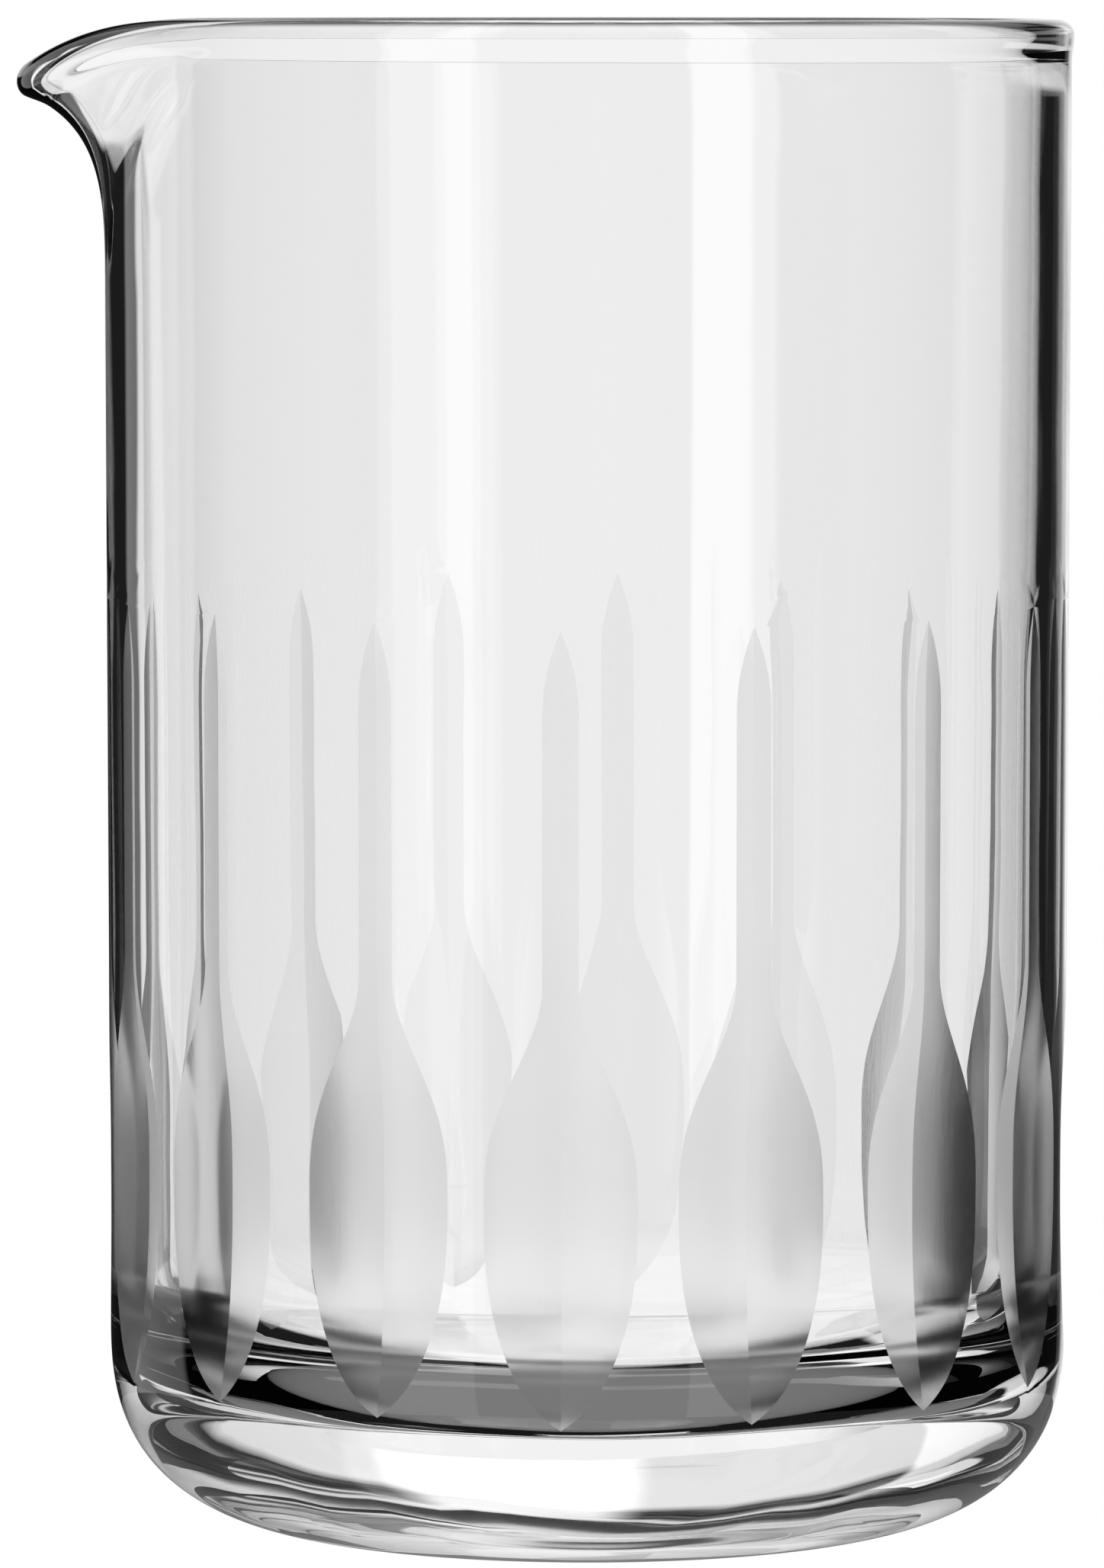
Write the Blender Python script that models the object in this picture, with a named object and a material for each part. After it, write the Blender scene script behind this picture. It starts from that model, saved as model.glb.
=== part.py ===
"""Mixing glass with a pulled pour spout and sixteen ground cuts: one seamless piece of clear glass.

It stands on z = 0 with its axis on Z, and the spout points to -X. Lengths are metres, angles are radians.
"""
import math

import bmesh
import bpy
from mathutils import Vector

MM = 0.001
DEG = math.pi / 180

# Body
RIM_RADIUS = 44.6 * MM  # outside, at the rim
HEIGHT = 140.0 * MM
WALL = 3.0 * MM  # at the rim
FOOT_TAPER = 0.36 * MM  # the body is this much smaller in radius just above the heel
LOWER_WALL_GAIN = 0.5 * MM  # and its wall this much thicker
RIM_BEAD = 0.25 * MM  # fire-polished swelling of the rim, on each side of the wall

# Base
HEEL_HEIGHT = 19.7 * MM
HEEL_WIDTH = 25.6 * MM  # from the flat rest face out to the wall
HEEL_POWER = 2.6
FLOOR_THICK = 13.7 * MM  # glass under the inner floor
BOWL_HEIGHT = 11.0 * MM  # inner corner: from the floor up to the straight wall
BOWL_WIDTH = 11.0 * MM
BOWL_POWER = 1.5

# Spout
SPOUT_AT = 180 * DEG
SPOUT_REACH = 8.2 * MM  # of the middle of the wall, at the lip
SPOUT_DROP = 4.1 * MM
SPOUT_LENGTH = 22.7 * MM  # the flare starts this far below the rim
SPOUT_FLARE = 3.0  # how late it turns outwards
SPOUT_ROUND = 5.2 * DEG  # rounding of the lip in plan

# Ground cuts, from the foot of the leaf up to the point of the stem
CUTS = 16
CUT_PHASE = -92.5 * DEG
CUT_FACET = 10 * DEG  # slope of each facet from the chord between the cut's edges
CUT_LAND = 3.6 * MM  # polished glass left between two cuts at their widest
CUT_INTO_HEEL = 4.8 * MM  # the foot is this far below the top of the heel
LEAF_RISE = 20.1 * MM  # foot to widest
NECK_RISE = 19.6 * MM  # widest to stem
STEM_RISE = 24.1 * MM
POINT_RISE = 7.6 * MM
STEM_WIDTH = 3.3 * MM

# Mesh
COLUMNS_PER_CUT = 6
RIM_STEPS = 5

GLASS_COLOUR = (0.90, 0.96, 0.95, 1.0)
GLASS_IOR = 1.52

EDGE_Z = HEIGHT - WALL / 2  # the rim is rounded about this height
FLARE_Z = EDGE_Z - SPOUT_LENGTH
PITCH = 2 * math.pi / CUTS
LEAF_WIDTH = PITCH * RIM_RADIUS - CUT_LAND
CUT_FOOT_Z = HEEL_HEIGHT - CUT_INTO_HEEL
CUT_WIDEST_Z = CUT_FOOT_Z + LEAF_RISE
CUT_NECK_Z = CUT_WIDEST_Z + NECK_RISE
CUT_POINT_Z = CUT_NECK_Z + STEM_RISE
CUT_TOP_Z = CUT_POINT_Z + POINT_RISE


def outer_radius(z):
    up = max(0.0, (z - HEEL_HEIGHT) / (HEIGHT - HEEL_HEIGHT))
    return RIM_RADIUS - FOOT_TAPER * (1 - up)


def inner_radius(z):
    start = FLOOR_THICK + BOWL_HEIGHT
    up = max(0.0, (z - start) / (EDGE_Z - start))
    return outer_radius(z) - WALL - LOWER_WALL_GAIN * (1 - up)


def corner(turn, flat_radius, flat_z, width, height, power):
    """Point of a superelliptic corner that leaves a flat at turn 0 and joins a wall at turn 1."""
    angle = turn * math.pi / 2
    out = math.sin(angle) ** (2 / power)
    up = 1 - math.cos(angle) ** (2 / power) if turn < 1 else 1.0
    return flat_radius + width * out, flat_z + height * up


def heel_point(turn):
    wall = outer_radius(HEEL_HEIGHT)
    return corner(turn, wall - HEEL_WIDTH, 0.0, HEEL_WIDTH, HEEL_HEIGHT, HEEL_POWER)


def bowl_point(turn):
    wall = inner_radius(FLOOR_THICK + BOWL_HEIGHT)
    return corner(turn, wall - BOWL_WIDTH, FLOOR_THICK, BOWL_WIDTH, BOWL_HEIGHT, BOWL_POWER)


def heel_radius(z):
    """Radius of the outside at a height, heel included."""
    if z >= HEEL_HEIGHT:
        return outer_radius(z)
    out = (1 - (1 - z / HEEL_HEIGHT) ** HEEL_POWER) ** (1 / HEEL_POWER)
    return outer_radius(HEEL_HEIGHT) - HEEL_WIDTH * (1 - out)


def cut_width(z):
    """Half the width of a cut at a height: a wide leaf below, a narrow stem with a point above."""
    if z <= CUT_FOOT_Z or z >= CUT_TOP_Z:
        return 0.0
    leaf = LEAF_WIDTH / 2
    stem = STEM_WIDTH / 2
    if z < CUT_WIDEST_Z:
        t = (CUT_WIDEST_Z - z) / (CUT_WIDEST_Z - CUT_FOOT_Z)
        return leaf * (1 - 0.8 * t**2.7 - 0.2 * t**12)
    if z < CUT_NECK_Z:
        t = (z - CUT_WIDEST_Z) / (CUT_NECK_Z - CUT_WIDEST_Z)
        return stem + (leaf - stem) * 0.5 * (1 + math.cos(math.pi * t**1.3))
    if z < CUT_POINT_Z:
        return stem
    t = (z - CUT_POINT_Z) / (CUT_TOP_Z - CUT_POINT_Z)
    return stem * (1 - t * t)


def keel_depth(half_width):
    return RIM_RADIUS * (1 - math.cos(half_width / RIM_RADIUS)) + half_width * math.tan(CUT_FACET)


def wall_middle(angle, z):
    """Middle of the wall, with the spout pulled out of it."""
    z = min(z, EDGE_Z)
    radius = (outer_radius(z) + inner_radius(z)) / 2
    flare = max(0.0, (z - FLARE_Z) / (EDGE_Z - FLARE_Z)) ** SPOUT_FLARE
    if flare == 0.0:
        return Vector((radius * math.cos(angle), radius * math.sin(angle), z))
    reach = SPOUT_REACH * flare
    off = math.remainder(angle - SPOUT_AT, 2 * math.pi)
    off = math.hypot(off, SPOUT_ROUND)
    half_angle = math.acos(radius / (radius + reach)) + SPOUT_ROUND
    out = radius / math.cos(max(0.0, half_angle - off)) - radius
    drop = SPOUT_DROP * flare * (out / reach) ** 1.5
    radius += out
    return Vector((radius * math.cos(angle), radius * math.sin(angle), z - drop))


def pull(angle, radius, z):
    """Carry a point of the plain round glass along with the spout."""
    low = min(z, EDGE_Z)
    middle = (outer_radius(low) + inner_radius(low)) / 2
    if low <= FLARE_Z:
        return Vector((radius * math.cos(angle), radius * math.sin(angle), z))
    step = 0.02 * MM
    turn = step / middle
    centre = wall_middle(angle, low)
    around = wall_middle(angle + turn, low) - wall_middle(angle - turn, low)
    rising = centre - wall_middle(angle, low - step)
    out = around.cross(rising).normalized()
    up = out.cross(around).normalized()
    return centre + out * (radius - middle) + up * (z - low)


def cut_columns(half_angle):
    """Angles across one pitch from its left edge: land, cut edge, keel, cut edge, land."""
    even = PITCH / COLUMNS_PER_CUT
    half = PITCH / 2
    edge = half_angle if half_angle > 0 else even
    land = (half + edge) / 2
    return [-half, -land, -edge, 0.0, edge, land]


def outside_ring(radius, z, half_width, tip=False):
    """One ring of the outside, as (angle, radius, z), with the cuts ground into it."""
    ring = []
    half_angle = half_width / RIM_RADIUS
    columns = cut_columns(half_angle)
    if tip:
        columns = [columns[0], columns[1] * 0.9, 0.0, 0.0, 0.0, columns[5] * 0.9]
    for cut in range(CUTS):
        for number, column in enumerate(columns):
            depth = keel_depth(half_width) if number == 3 else 0.0
            ring.append((CUT_PHASE + cut * PITCH + column, radius - depth, z))
    return ring


def share(low, high, steps):
    return [low + (high - low) * step / steps for step in range(steps + 1)]


def rings():
    """Every ring from the rest face up the outside, over the rim and down to the inner floor."""
    found = []
    heel_stop = math.acos((1 - CUT_FOOT_Z / HEEL_HEIGHT) ** (HEEL_POWER / 2)) / (math.pi / 2)
    for turn in share(0.0, heel_stop, 8)[:-1]:
        radius, z = heel_point(turn)
        found.append(outside_ring(radius, z, 0.0))
    found.append(outside_ring(heel_radius(CUT_FOOT_Z), CUT_FOOT_Z, 0.0, tip=True))
    heights = [CUT_FOOT_Z + LEAF_RISE * t**1.6 for t in share(0.0, 1.0, 6)[1:]]
    heights += share(CUT_WIDEST_Z, CUT_NECK_Z, 6)[1:]
    heights += share(CUT_NECK_Z, CUT_POINT_Z, 2)[1:]
    heights += share(CUT_POINT_Z, CUT_TOP_Z, 3)[1:-1]
    for z in heights:
        found.append(outside_ring(heel_radius(z), z, cut_width(z)))
    found.append(outside_ring(outer_radius(CUT_TOP_Z), CUT_TOP_Z, 0.0, tip=True))
    above = share(CUT_TOP_Z, FLARE_Z, 3)[1:]
    flare = [FLARE_Z + (EDGE_Z - FLARE_Z) * (1 - (1 - t) ** 1.3) for t in share(0.0, 1.0, 8)[1:]]
    for z in above + flare[:-1]:
        found.append(outside_ring(outer_radius(z), z, 0.0))
    middle = (outer_radius(EDGE_Z) + inner_radius(EDGE_Z)) / 2
    bead = WALL / 2 + RIM_BEAD
    for step in range(RIM_STEPS + 1):
        angle = math.pi * step / RIM_STEPS
        radius, z = middle + bead * math.cos(angle), EDGE_Z + WALL / 2 * math.sin(angle)
        found.append(outside_ring(radius, z, 0.0))
    for z in reversed(flare[:-1]):
        found.append(outside_ring(inner_radius(z), z, 0.0))
    bowl_top = FLOOR_THICK + BOWL_HEIGHT
    for z in share(FLARE_Z, bowl_top, 4):
        found.append(outside_ring(inner_radius(z), z, 0.0))
    for turn in reversed(share(0.0, 1.0, 6)[:-1]):
        radius, z = bowl_point(turn)
        found.append(outside_ring(radius, z, 0.0))
    return found


def glass_mesh():
    bm = bmesh.new()
    rows = [[bm.verts.new(pull(*point)) for point in ring] for ring in rings()]
    bm.faces.new(list(reversed(rows[0])))
    for lower, upper in zip(rows, rows[1:]):
        for i in range(len(lower)):
            j = (i + 1) % len(lower)
            bm.faces.new((lower[i], lower[j], upper[j], upper[i]))
    bm.faces.new(rows[-1])
    bmesh.ops.remove_doubles(bm, verts=bm.verts, dist=0.02 * MM)
    bmesh.ops.dissolve_degenerate(bm, edges=bm.edges, dist=0.001 * MM)
    bmesh.ops.recalc_face_normals(bm, faces=bm.faces)
    for face in bm.faces:
        face.smooth = True
    for edge in bm.edges:
        edge.smooth = edge.calc_face_angle(0.0) < 7 * DEG or not is_cut_edge(edge)
    return bm


def is_cut_edge(edge):
    """True for an edge on the outline or the keel of a cut."""
    for vert in edge.verts:
        z = vert.co.z
        if not CUT_FOOT_Z - 0.1 * MM < z < CUT_TOP_Z + 0.1 * MM:
            return False
        if math.hypot(vert.co.x, vert.co.y) < inner_radius(z) + 0.3 * WALL:
            return False
    return True


def glass_material():
    material = bpy.data.materials.new("glass")
    material.use_nodes = True
    shader = material.node_tree.nodes["Principled BSDF"]
    shader.inputs["Base Color"].default_value = GLASS_COLOUR
    shader.inputs["Roughness"].default_value = 0.03
    shader.inputs["IOR"].default_value = GLASS_IOR
    shader.inputs["Transmission Weight"].default_value = 1.0
    return material


for old in list(bpy.data.objects):
    bpy.data.objects.remove(old)

body = glass_mesh()
mesh = bpy.data.meshes.new("glass_body")
body.to_mesh(mesh)
body.free()
mesh.materials.append(glass_material())
bpy.context.scene.collection.objects.link(bpy.data.objects.new("glass_body", mesh))
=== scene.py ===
"""Mixing glass in a bright studio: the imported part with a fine, hand-finished glass body in its place."""
import math

import bmesh
import bpy
import numpy as np
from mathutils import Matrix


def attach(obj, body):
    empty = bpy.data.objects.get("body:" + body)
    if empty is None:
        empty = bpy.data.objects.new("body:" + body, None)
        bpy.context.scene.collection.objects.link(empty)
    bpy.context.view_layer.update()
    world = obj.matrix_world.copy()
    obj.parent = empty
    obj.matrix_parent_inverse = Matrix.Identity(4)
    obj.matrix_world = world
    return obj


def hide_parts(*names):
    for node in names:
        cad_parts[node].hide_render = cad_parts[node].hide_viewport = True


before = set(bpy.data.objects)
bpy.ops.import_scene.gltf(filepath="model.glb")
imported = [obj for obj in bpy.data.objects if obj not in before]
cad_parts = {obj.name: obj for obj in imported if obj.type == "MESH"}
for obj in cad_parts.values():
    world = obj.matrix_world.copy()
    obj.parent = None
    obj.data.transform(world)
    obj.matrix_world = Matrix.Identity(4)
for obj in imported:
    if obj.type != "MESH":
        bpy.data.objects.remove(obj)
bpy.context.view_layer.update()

MM = 0.001
DEG = math.pi / 180

# ---------------------------------------------------------------- sizes, as in the CAD
RIM_RADIUS = 44.6 * MM
HEIGHT = 140.0 * MM
WALL = 3.0 * MM
FOOT_TAPER = 0.36 * MM
LOWER_WALL_GAIN = 0.5 * MM
RIM_BEAD = 0.22 * MM
RIM_ROUND = 1.46 * MM
HEEL_HEIGHT = 19.7 * MM
HEEL_WIDTH = 25.6 * MM
HEEL_POWER = 2.6
FLOOR_THICK = 13.7 * MM
BOWL_HEIGHT = 11.0 * MM
BOWL_WIDTH = 11.0 * MM
BOWL_POWER = 1.5
SPOUT_AT = 180 * DEG
SPOUT_REACH = 8.04 * MM
SPOUT_DROP = 4.1 * MM
SPOUT_LENGTH = 22.7 * MM
SPOUT_FLARE = 3.0
SPOUT_ROUND = 5.2 * DEG
CUTS = 16
CUT_PHASE = -92.5 * DEG
CUT_FACET = 10 * DEG
CUT_LAND = 3.6 * MM
CUT_INTO_HEEL = 4.8 * MM
LEAF_RISE = 20.1 * MM
NECK_RISE = 19.6 * MM
STEM_RISE = 24.1 * MM
POINT_RISE = 7.6 * MM
STEM_WIDTH = 3.3 * MM

EDGE_Z = HEIGHT - WALL / 2
FLARE_Z = EDGE_Z - SPOUT_LENGTH
PITCH = 2 * math.pi / CUTS
LEAF_WIDTH = PITCH * RIM_RADIUS - CUT_LAND
CUT_FOOT_Z = HEEL_HEIGHT - CUT_INTO_HEEL
CUT_WIDEST_Z = CUT_FOOT_Z + LEAF_RISE
CUT_NECK_Z = CUT_WIDEST_Z + NECK_RISE
CUT_POINT_Z = CUT_NECK_Z + STEM_RISE
CUT_TOP_Z = CUT_POINT_Z + POINT_RISE

# The cuts were ground by hand, so each is a little off its place: turn in degrees, rise in mm
HAND_TURN = (-0.8, -0.7, 0.8, 0.7, 0.4, 0.3, -0.3, -0.9, -1.3, -1.3, -1.2, -0.8, -0.3, -0.9, -1.7, -0.5)
HAND_RISE = (-0.4, -0.1, 0.0, 0.4, 0.3, 0.2, -0.4, -0.1, 0.2, 0.4, -0.6, -0.4, 0.1, 0.4, 0.4, 0.3)

BORE_OFF = 0.2 * MM  # the bore is a little nearer the side away from the spout
BEAD_FADE = 2.5 * MM  # below the edge of the rim
FLOOR_SWELL = 0.35 * MM
FLOOR_SWIRL = 0.08  # share of the swell

FACET_STEPS = 8
LAND_STEPS = 5


# ---------------------------------------------------------------- shape
def smooth(x):
    x = np.clip(x, 0.0, 1.0)
    return x * x * (3 - 2 * x)


def outer_radius(z):
    return RIM_RADIUS - FOOT_TAPER * (1 - np.maximum(0.0, (z - HEEL_HEIGHT) / (HEIGHT - HEEL_HEIGHT)))


def inner_radius(z):
    start = FLOOR_THICK + BOWL_HEIGHT
    up = np.maximum(0.0, (z - start) / (EDGE_Z - start))
    return outer_radius(z) - WALL - LOWER_WALL_GAIN * (1 - up)


def corner(turn, flat_radius, flat_z, width, height, power):
    angle = turn * math.pi / 2
    out = math.sin(angle) ** (2 / power)
    up = 1 - math.cos(angle) ** (2 / power) if turn < 1 else 1.0
    return flat_radius + width * out, flat_z + height * up


def heel_point(turn):
    wall = float(outer_radius(HEEL_HEIGHT))
    return corner(turn, wall - HEEL_WIDTH, 0.0, HEEL_WIDTH, HEEL_HEIGHT, HEEL_POWER)


def bowl_point(turn):
    wall = float(inner_radius(FLOOR_THICK + BOWL_HEIGHT))
    return corner(turn, wall - BOWL_WIDTH, FLOOR_THICK, BOWL_WIDTH, BOWL_HEIGHT, BOWL_POWER)


def heel_radius(z):
    low = np.minimum(z, HEEL_HEIGHT)
    out = (1 - (1 - low / HEEL_HEIGHT) ** HEEL_POWER) ** (1 / HEEL_POWER)
    heel = outer_radius(HEEL_HEIGHT) - HEEL_WIDTH * (1 - out)
    return np.where(z >= HEEL_HEIGHT, outer_radius(z), heel)


def cut_width(z):
    """Half the width of a cut at a height."""
    if z <= CUT_FOOT_Z or z >= CUT_TOP_Z:
        return 0.0
    leaf, stem = LEAF_WIDTH / 2, STEM_WIDTH / 2
    if z < CUT_WIDEST_Z:
        t = (CUT_WIDEST_Z - z) / LEAF_RISE
        return leaf * (1 - 0.8 * t**2.7 - 0.2 * t**12)
    if z < CUT_NECK_Z:
        t = (z - CUT_WIDEST_Z) / NECK_RISE
        return stem + (leaf - stem) * 0.5 * (1 + math.cos(math.pi * t**1.3))
    if z < CUT_POINT_Z:
        return stem
    t = (z - CUT_POINT_Z) / POINT_RISE
    return stem * (1 - t * t)


def keel_depth(half_width):
    return RIM_RADIUS * (1 - math.cos(half_width / RIM_RADIUS)) + half_width * math.tan(CUT_FACET)


def wall_middle(angle, z):
    z = np.minimum(z, EDGE_Z)
    radius = (outer_radius(z) + inner_radius(z)) / 2
    flare = np.maximum(1e-9, (z - FLARE_Z) / (EDGE_Z - FLARE_Z)) ** SPOUT_FLARE
    reach = SPOUT_REACH * flare
    off = np.remainder(angle - SPOUT_AT + math.pi, 2 * math.pi) - math.pi
    off = np.hypot(off, SPOUT_ROUND)
    half_angle = np.arccos(radius / (radius + reach)) + SPOUT_ROUND
    out = radius / np.cos(np.maximum(0.0, half_angle - off)) - radius
    drop = SPOUT_DROP * flare * (out / reach) ** 1.5
    radius = radius + out
    return np.stack([radius * np.cos(angle), radius * np.sin(angle), z - drop], -1)


def pull(angle, radius, z):
    """Carry points of the plain round glass along with the spout."""
    low = np.minimum(z, EDGE_Z)
    middle = (outer_radius(low) + inner_radius(low)) / 2
    step = 0.02 * MM
    turn = step / middle
    centre = wall_middle(angle, low)
    around = wall_middle(angle + turn, low) - wall_middle(angle - turn, low)
    rising = centre - wall_middle(angle, low - step)
    out = np.cross(around, rising)
    out /= np.linalg.norm(out, axis=-1, keepdims=True)
    up = np.cross(out, around)
    up /= np.linalg.norm(up, axis=-1, keepdims=True)
    pulled = centre + out * (radius - middle)[..., None] + up * (z - low)[..., None]
    plain = np.stack([radius * np.cos(angle), radius * np.sin(angle), z], -1)
    return np.where((low > FLARE_Z)[..., None], pulled, plain)


# ---------------------------------------------------------------- the glass body
EVEN = PITCH / (2 * (FACET_STEPS + LAND_STEPS))
EVEN_EDGE = EVEN * FACET_STEPS


def ring_columns(edge):
    """Offsets across one pitch, and how much each column belongs to its cut."""
    land = np.linspace(-PITCH / 2, -edge, LAND_STEPS + 1)[:-1]
    facets = np.linspace(-edge, edge, 2 * FACET_STEPS + 1)
    offsets = np.concatenate([land, facets, -land[:0:-1]])
    belongs = np.concatenate([np.linspace(0, 1, LAND_STEPS + 1)[:-1], np.ones(2 * FACET_STEPS + 1),
                              np.linspace(1, 0, LAND_STEPS + 1)[1:-1]])
    return offsets, belongs


KEEL = LAND_STEPS + FACET_STEPS
LEFT, RIGHT = LAND_STEPS, LAND_STEPS + 2 * FACET_STEPS
SECTOR = 2 * (LAND_STEPS + FACET_STEPS)
COLUMNS = SECTOR * CUTS


def cut_ring(z, radius=None):
    """One ring of the outside at a height, with the cuts ground into it."""
    half_width = cut_width(z)
    if half_width > 0:
        edge = half_width / RIM_RADIUS
    else:
        away = max(CUT_FOOT_Z - z, z - CUT_TOP_Z, 0.0)
        edge = EVEN_EDGE * float(smooth(away / (6 * MM)))
    offsets, belongs = ring_columns(edge)
    near = float(smooth(1 - max(CUT_FOOT_Z - z, z - CUT_TOP_Z, 0.0) / (10 * MM)))
    depth = keel_depth(half_width) if half_width > 0 else 0.0
    angles, radii, heights = [], [], []
    for cut in range(CUTS):
        place = CUT_PHASE + cut * PITCH
        turn = HAND_TURN[cut] * DEG * near
        rise = HAND_RISE[cut] * MM * near
        height = z + rise * belongs
        wall = heel_radius(height) if radius is None else np.full(SECTOR, radius)
        x = wall * np.cos(offsets)
        y = wall * np.sin(offsets)
        if depth:
            across = np.clip(np.abs(offsets) / edge, 0, 1)
            inside = np.abs(offsets) < edge * 0.9999
            x = np.where(inside, wall * math.cos(edge) * across + (wall - depth) * (1 - across), x)
            y = np.where(inside, np.sign(offsets) * wall * math.sin(edge) * across, y)
        angles.append(place + turn * belongs + np.arctan2(y, x))
        radii.append(np.hypot(x, y))
        heights.append(height)
    return np.concatenate(angles), np.concatenate(radii), np.concatenate(heights)


def plain_ring(radius, z):
    offsets, _ = ring_columns(EVEN_EDGE)
    angles = np.concatenate([CUT_PHASE + cut * PITCH + offsets for cut in range(CUTS)])
    return angles, np.full(COLUMNS, radius), np.full(COLUMNS, z)


def share(low, high, steps):
    return [low + (high - low) * step / steps for step in range(steps + 1)]


def body_rings():
    """Rings from the middle of the underside, up the outside, over the rim and down to the floor."""
    rings, kinds = [], []

    def lay(kind, ring):
        rings.append(ring)
        kinds.append(kind)

    fine = 1.0
    rest = heel_point(0.0)[0]
    for r in share(0.5 * MM, rest, int(10 * fine))[:-1]:
        lay("plain", plain_ring(r, 0.0))
    stop = math.acos((1 - CUT_FOOT_Z / HEEL_HEIGHT) ** (HEEL_POWER / 2)) / (math.pi / 2)
    for turn in share(0.0, stop, int(40 * fine))[:-1]:
        radius, z = heel_point(turn)
        lay("plain", cut_ring(z) if z > 1 * MM else plain_ring(radius, z))
    lay("tip", cut_ring(CUT_FOOT_Z))
    heights = [CUT_FOOT_Z + LEAF_RISE * t**1.8 for t in share(0.0, 1.0, int(34 * fine))[1:]]
    heights += share(CUT_WIDEST_Z, CUT_NECK_Z, int(30 * fine))[1:]
    heights += share(CUT_NECK_Z, CUT_POINT_Z, int(12 * fine))[1:]
    heights += [CUT_POINT_Z + POINT_RISE * (1 - (1 - t) ** 1.6)
                for t in share(0.0, 1.0, int(14 * fine))[1:-1]]
    for z in heights:
        lay("cut", cut_ring(z))
    lay("tip", cut_ring(CUT_TOP_Z))
    above = share(CUT_TOP_Z, CUT_TOP_Z + 12 * MM, int(14 * fine))[1:]
    above += share(CUT_TOP_Z + 12 * MM, FLARE_Z, int(10 * fine))[1:]
    flare = [FLARE_Z + (EDGE_Z - FLARE_Z) * (1 - (1 - t) ** 1.3)
             for t in share(0.0, 1.0, int(44 * fine))[1:]]
    for z in above:
        lay("plain", cut_ring(z))
    for z in flare[:-1]:
        bead = RIM_BEAD * float(smooth(1 - (EDGE_Z - z) / BEAD_FADE))
        lay("plain", plain_ring(float(outer_radius(z)) + bead, z))
    middle = float(outer_radius(EDGE_Z) + inner_radius(EDGE_Z)) / 2
    for step in range(int(24 * fine) + 1):
        angle = math.pi * step / int(24 * fine)
        across, up = (WALL / 2 + RIM_BEAD) * math.cos(angle), RIM_ROUND * math.sin(angle)
        lay("plain", plain_ring(middle + across, EDGE_Z + up))
    for z in reversed(flare[:-1]):
        bead = RIM_BEAD * float(smooth(1 - (EDGE_Z - z) / BEAD_FADE))
        lay("bore", plain_ring(float(inner_radius(z)) - bead, z))
    for z in share(FLARE_Z, FLOOR_THICK + BOWL_HEIGHT, int(30 * fine)):
        lay("inside", plain_ring(float(inner_radius(z)), z))
    for turn in reversed(share(0.0, 1.0, int(36 * fine))[:-1]):
        radius, z = bowl_point(turn)
        lay("inside", plain_ring(radius, z))
    floor = bowl_point(0.0)[0]
    for r in reversed(share(0.5 * MM, floor, int(16 * fine))[:-1]):
        lay("inside", plain_ring(r, FLOOR_THICK))
    return rings, kinds


def hand_blown(points, kinds):
    """The inside of the base is never quite even, and the bore is a little off centre."""
    x, y, z = points[..., 0], points[..., 1], points[..., 2]
    inside = np.array([kind == "inside" for kind in kinds])[:, None]
    deep = smooth((FLOOR_THICK + BOWL_HEIGHT + 6 * MM - z) / (20 * MM)) * inside
    u, v = x / (10 * MM), y / (10 * MM)
    swell = (0.35 * np.sin(1.3 * u + 0.7 * v + 0.4) + 0.25 * np.sin(-0.9 * u + 1.6 * v + 2.0)
             + 0.15 * np.sin(2.3 * u - 1.1 * v + 1.0))
    around = np.arctan2(y, x)
    swirl = np.hypot(x, y) / MM + 1.6 * np.sin(around + 0.8) + 0.7 * np.sin(3 * around)
    swell += FLOOR_SWIRL * np.sin(0.95 * swirl) * smooth(np.hypot(x, y) / (16 * MM))
    points[..., 2] = z + FLOOR_SWELL * swell * deep
    bore = np.array([kind in ("bore", "inside") for kind in kinds])[:, None]
    under_rim = smooth((EDGE_Z - z) / (6 * MM)) * bore
    points[..., 0] = x + BORE_OFF * under_rim
    return points


def body_mesh():
    rings, kinds = body_rings()
    points = np.stack([pull(*ring) for ring in rings])
    points = hand_blown(points, kinds)
    index = np.arange(len(rings) * COLUMNS).reshape(len(rings), COLUMNS)
    for row, kind in enumerate(kinds):
        if kind == "tip":
            for cut in range(CUTS):
                first = cut * SECTOR
                index[row, first + LEFT:first + RIGHT + 1] = index[row, first + KEEL]
    used, inverse = np.unique(index, return_inverse=True)
    index = inverse.reshape(index.shape)
    verts = points.reshape(-1, 3)[used]
    faces, ground, sharp = [], [], set()
    for row in range(len(rings) - 1):
        cut_row = "cut" in (kinds[row], kinds[row + 1])
        low, high = index[row], index[row + 1]
        for i in range(COLUMNS):
            j = (i + 1) % COLUMNS
            loop = [low[i], low[j], high[j], high[i]]
            loop = [v for n, v in enumerate(loop) if v != loop[n - 1]]
            if len(loop) < 3:
                continue
            faces.append(loop)
            column = i % SECTOR
            ground.append(1 if cut_row and LEFT <= column < RIGHT else 0)
        if cut_row:
            for cut in range(CUTS):
                for column in (LEFT, KEEL, RIGHT):
                    k = cut * SECTOR + column
                    sharp.add((min(low[k], high[k]), max(low[k], high[k])))
    faces.append(list(index[0][::-1]))
    ground.append(0)
    faces.append(list(index[-1]))
    ground.append(0)
    mesh = bpy.data.meshes.new("glass_body_fine")
    mesh.from_pydata(verts.tolist(), [], [[int(v) for v in face] for face in faces])
    mesh.polygons.foreach_set("material_index", ground)
    mesh.polygons.foreach_set("use_smooth", [True] * len(faces))
    ends = np.empty(len(mesh.edges) * 2, dtype=np.int64)
    mesh.edges.foreach_get("vertices", ends)
    ends = np.sort(ends.reshape(-1, 2), axis=1)
    marks = mesh.attributes.new("sharp_edge", "BOOLEAN", "EDGE")
    marks.data.foreach_set("value", [(int(a), int(b)) in sharp for a, b in ends])
    mesh.update()
    return mesh


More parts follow.
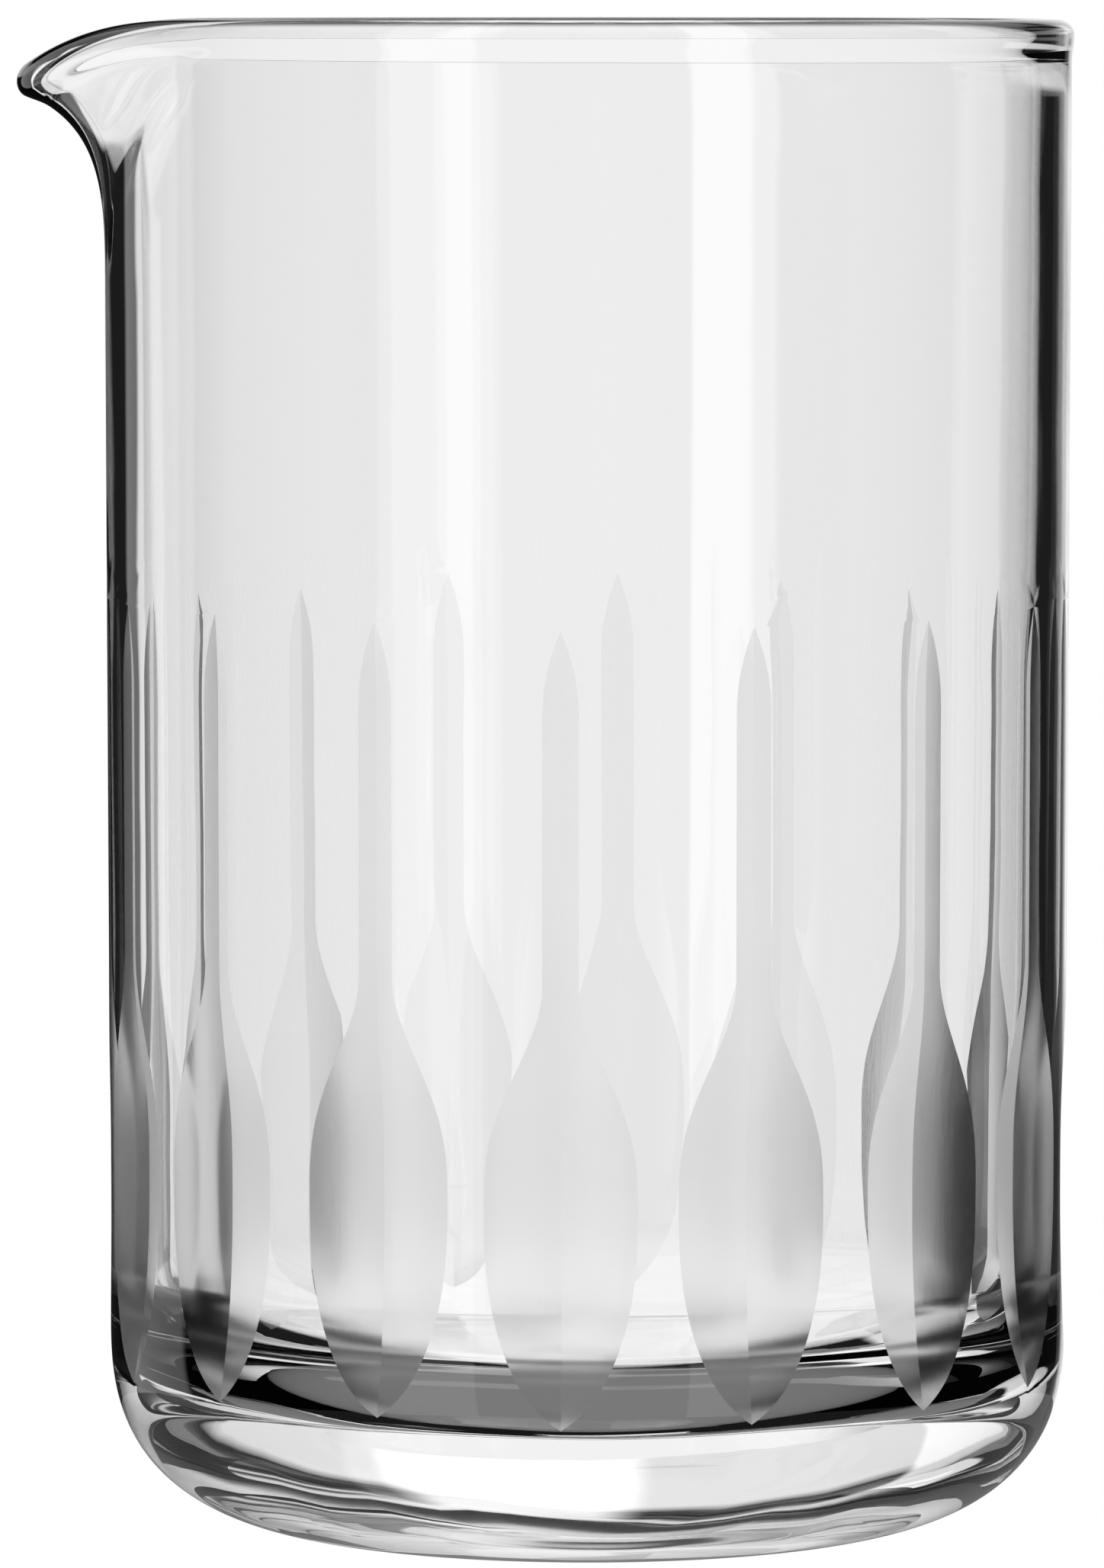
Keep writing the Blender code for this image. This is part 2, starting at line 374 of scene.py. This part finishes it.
# ---------------------------------------------------------------- materials
def node(tree, kind, **inputs):
    made = tree.nodes.new(kind)
    for name, value in inputs.items():
        made.inputs[name.replace("_", " ")].default_value = value
    return made


def polished_glass():
    material = bpy.data.materials.new("polished_glass")
    material.use_nodes = True
    tree = material.node_tree
    shader = tree.nodes["Principled BSDF"]
    shader.inputs["Base Color"].default_value = (0.998, 0.998, 0.998, 1)
    shader.inputs["Roughness"].default_value = 0.0
    shader.inputs["IOR"].default_value = 1.52
    shader.inputs["Transmission Weight"].default_value = 1.0
    place = tree.nodes.new("ShaderNodeTexCoord")
    waves = node(tree, "ShaderNodeTexNoise", Scale=55.0, Detail=1.5, Roughness=0.4)
    bump = node(tree, "ShaderNodeBump", Strength=0.12, Distance=0.0004)
    tree.links.new(place.outputs["Object"], waves.inputs["Vector"])
    tree.links.new(waves.outputs["Fac"], bump.inputs["Height"])
    tree.links.new(bump.outputs["Normal"], shader.inputs["Normal"])
    return material


def ground_glass():
    material = bpy.data.materials.new("ground_glass")
    material.use_nodes = True
    tree = material.node_tree
    shader = tree.nodes["Principled BSDF"]
    shader.inputs["Base Color"].default_value = (0.88, 0.88, 0.88, 1)
    shader.inputs["IOR"].default_value = 1.52
    shader.inputs["Transmission Weight"].default_value = 1.0
    place = tree.nodes.new("ShaderNodeTexCoord")
    stretch = tree.nodes.new("ShaderNodeMapping")
    stretch.inputs["Scale"].default_value = (1.0, 1.0, 0.12)
    grit = node(tree, "ShaderNodeTexNoise", Scale=2600.0, Detail=3.0, Roughness=0.6)
    cloud = node(tree, "ShaderNodeTexNoise", Scale=140.0, Detail=3.0, Roughness=0.5)
    satin = node(tree, "ShaderNodeMapRange", To_Min=0.26, To_Max=0.35)
    bump = node(tree, "ShaderNodeBump", Strength=0.25, Distance=0.00004)
    tree.links.new(place.outputs["Object"], stretch.inputs["Vector"])
    tree.links.new(stretch.outputs["Vector"], grit.inputs["Vector"])
    tree.links.new(place.outputs["Object"], cloud.inputs["Vector"])
    tree.links.new(cloud.outputs["Fac"], satin.inputs["Value"])
    tree.links.new(satin.outputs["Result"], shader.inputs["Roughness"])
    tree.links.new(grit.outputs["Fac"], bump.inputs["Height"])
    tree.links.new(bump.outputs["Normal"], shader.inputs["Normal"])
    return material


mesh = body_mesh()
mesh.materials.append(polished_glass())
mesh.materials.append(ground_glass())
body = bpy.data.objects.new("mixing_glass", mesh)
bpy.context.scene.collection.objects.link(body)
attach(body, "root")
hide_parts("glass_body")


# ---------------------------------------------------------------- studio
# Each card: bearing, half its width, softness of its edge, brightness
CARDS = (
    (-7.25, 9.75, 6.0, 1.0),
    (50.5, 15.0, 3.0, 0.8),
    (-20.0, 2.5, 2.0, 0.10),
    (140.7, 11.7, 1.5, 1.1),
    (-148.0, 7.5, 1.5, 1.1),
)
FRONT_CARD = (180.0, 28.0, 4.0)  # bearing, half width and softness of the card on the camera's side
FRONT_FILL = 0.3
HIGH_CARD = (0.09, 0.12, 0.24, 0.30)  # upward part of the direction at which its foot and its top fade
HIGH_CARD_SPAN = (0.0, 57.0, 4.0)  # its bearing, half width and softness
HIGH_CARD_LEVEL = 0.8
OVERHEAD_START, OVERHEAD_END = 0.45, 0.65
FLAG_LEVEL = 0.012
OVERHEAD = 0.8
BRIGHTEST = 1.1
BACKDROP = (0.0, 28.0, 20.0)  # bearing, half width and softness of what shows straight through the glass
BACKDROP_TOP = (0.35, 0.60)
BACKDROP_LEVEL = 0.95
SIDE_LEVEL = 0.02
FLOOR_RADIUS = 6.0
NEAR_FLOOR_RADIUS = 0.09
NEAR_FLOOR_BOUNCED = 0.2
WALLS_RADIUS = 30.0


def math_node(tree, operation, *values):
    made = tree.nodes.new("ShaderNodeMath")
    made.operation = operation
    for number, value in enumerate(values):
        if isinstance(value, (int, float)):
            made.inputs[number].default_value = value
        else:
            tree.links.new(value, made.inputs[number])
    return made.outputs[0]


def band(tree, angle, centre, half, soft):
    """1 within half of centre, falling to 0 over soft, in degrees."""
    away = math_node(tree, "ABSOLUTE", math_node(tree, "SUBTRACT", angle, centre))
    fall = node(tree, "ShaderNodeMapRange", From_Min=half - soft / 2, From_Max=half + soft / 2,
                To_Min=1.0, To_Max=0.0)
    fall.interpolation_type = "SMOOTHSTEP"
    tree.links.new(away, fall.inputs["Value"])
    return fall.outputs["Result"]


def ramp(tree, value, start, end, before, after):
    made = node(tree, "ShaderNodeMapRange", From_Min=start, From_Max=end, To_Min=before, To_Max=after)
    tree.links.new(value, made.inputs["Value"])
    return made.outputs["Result"]


def by_kind_of_ray(tree, straight, bounced):
    """One brightness for rays that only passed through the glass, another for those that reflected."""
    path = tree.nodes.new("ShaderNodeLightPath")
    reflected = math_node(tree, "GREATER_THAN", path.outputs["Glossy Depth"], 0.5)
    clear = math_node(tree, "SUBTRACT", 1.0, reflected)
    return math_node(tree, "ADD", math_node(tree, "MULTIPLY", clear, straight),
                     math_node(tree, "MULTIPLY", reflected, bounced))


def total(tree, values):
    result = values[0]
    for value in values[1:]:
        result = math_node(tree, "ADD", result, value)
    return result


def studio_walls(tree):
    """White cards and black flags round the glass. Bearings are from straight behind it as the camera
    sees it, left positive, and turn with the camera."""
    parts = tree.nodes.new("ShaderNodeSeparateXYZ")
    direction = node(tree, "ShaderNodeVectorMath")
    direction.operation = "NORMALIZE"
    tree.links.new(tree.nodes.new("ShaderNodeTexCoord").outputs["Object"], direction.inputs[0])
    tree.links.new(direction.outputs[0], parts.inputs[0])
    x = math_node(tree, "MULTIPLY", parts.outputs["X"], -1.0)
    z = math_node(tree, "MULTIPLY", parts.outputs["Z"], -1.0)
    bearing = math_node(tree, "MULTIPLY", math_node(tree, "ARCTAN2", x, z), 180 / math.pi)
    bounced = [math_node(tree, "MULTIPLY", band(tree, bearing, centre, half, soft), strength)
               for centre, half, soft, strength in CARDS]
    front = band(tree, math_node(tree, "ABSOLUTE", bearing), *FRONT_CARD)
    bounced.append(math_node(tree, "MULTIPLY", front, FRONT_FILL))
    foot_start, foot_end, top_start, top_end = HIGH_CARD
    high = math_node(tree, "MULTIPLY", ramp(tree, parts.outputs["Y"], foot_start, foot_end, 0.0, 1.0),
                     ramp(tree, parts.outputs["Y"], top_start, top_end, 1.0, 0.0))
    high = math_node(tree, "MULTIPLY", high, band(tree, bearing, *HIGH_CARD_SPAN))
    bounced.append(math_node(tree, "MULTIPLY", high, HIGH_CARD_LEVEL))
    bounced.append(ramp(tree, parts.outputs["Y"], OVERHEAD_START, OVERHEAD_END, FLAG_LEVEL, OVERHEAD))
    bounced = math_node(tree, "MINIMUM", total(tree, bounced), BRIGHTEST)
    straight = math_node(tree, "MULTIPLY", band(tree, bearing, *BACKDROP), BACKDROP_LEVEL - SIDE_LEVEL)
    level = ramp(tree, math_node(tree, "ABSOLUTE", parts.outputs["Y"]), *BACKDROP_TOP, 1.0, 0.0)
    straight = math_node(tree, "ADD", math_node(tree, "MULTIPLY", straight, level), SIDE_LEVEL)
    return by_kind_of_ray(tree, straight, bounced)


def glowing(name, strength_of):
    material = bpy.data.materials.new(name)
    material.use_nodes = True
    tree = material.node_tree
    tree.nodes.clear()
    glow = node(tree, "ShaderNodeEmission", Color=(1, 1, 1, 1))
    strength = strength_of(tree)
    if strength is not None:
        tree.links.new(strength, glow.inputs["Strength"])
    tree.links.new(glow.outputs[0], tree.nodes.new("ShaderNodeOutputMaterial").inputs["Surface"])
    return material


world = bpy.data.worlds.new("studio")
bpy.context.scene.world = world
world.use_nodes = True
world.node_tree.nodes["Background"].inputs["Color"].default_value = (1, 1, 1, 1)


def floor_piece(name, radius, height, sides, bounced=1.0):
    piece_mesh = bpy.data.meshes.new(name)
    turns = [2 * math.pi * k / sides for k in range(sides)]
    corners = [(radius * math.cos(turn), radius * math.sin(turn), height) for turn in turns]
    piece_mesh.from_pydata(corners, [], [list(range(sides))])
    piece_mesh.materials.append(glowing(name + "_paint", lambda tree: by_kind_of_ray(tree, 1.0, bounced)))
    piece = bpy.data.objects.new(name, piece_mesh)
    bpy.context.scene.collection.objects.link(piece)
    return piece


floor = floor_piece("floor", FLOOR_RADIUS, -0.4 * MM, 4)
floor.visible_transmission = floor.visible_glossy = floor.visible_diffuse = False
floor_piece("near_floor", NEAR_FLOOR_RADIUS, -0.2 * MM, 96, NEAR_FLOOR_BOUNCED)

# ---------------------------------------------------------------- camera
DISTANCE = 1080 * MM
EYE_HEIGHT = 144 * MM
ASIDE = -3.31 * MM
LOOK_DOWN = 3.957 * DEG
eye = bpy.data.cameras.new("camera")
eye.lens = 268.6
eye.sensor_width = 36.0
eye.clip_start = 0.05
eye.clip_end = 30.0
camera = bpy.data.objects.new("camera", eye)
camera.location = (ASIDE, -DISTANCE, EYE_HEIGHT)
camera.rotation_euler = (90 * DEG - LOOK_DOWN, 0, 0)
bpy.context.scene.collection.objects.link(camera)
bpy.context.scene.camera = camera
bpy.context.scene.view_settings.view_transform = "Standard"

# The studio's walls ride on the camera, so in every other view the cards and the backdrop turn with it.
# Left in place instead, they show the same in the photograph's view and a nearly black glass in the others.
shell = bmesh.new()
bmesh.ops.create_uvsphere(shell, u_segments=64, v_segments=32, radius=WALLS_RADIUS)
walls_mesh = bpy.data.meshes.new("studio_walls")
shell.to_mesh(walls_mesh)
shell.free()
walls_mesh.materials.append(glowing("studio_cards", studio_walls))
walls_mesh.materials[0].cycles.emission_sampling = "NONE"
walls = bpy.data.objects.new("studio_walls", walls_mesh)
walls.parent = camera
walls.location = (0, 0, -DISTANCE)
walls.visible_camera = False
bpy.context.scene.collection.objects.link(walls)
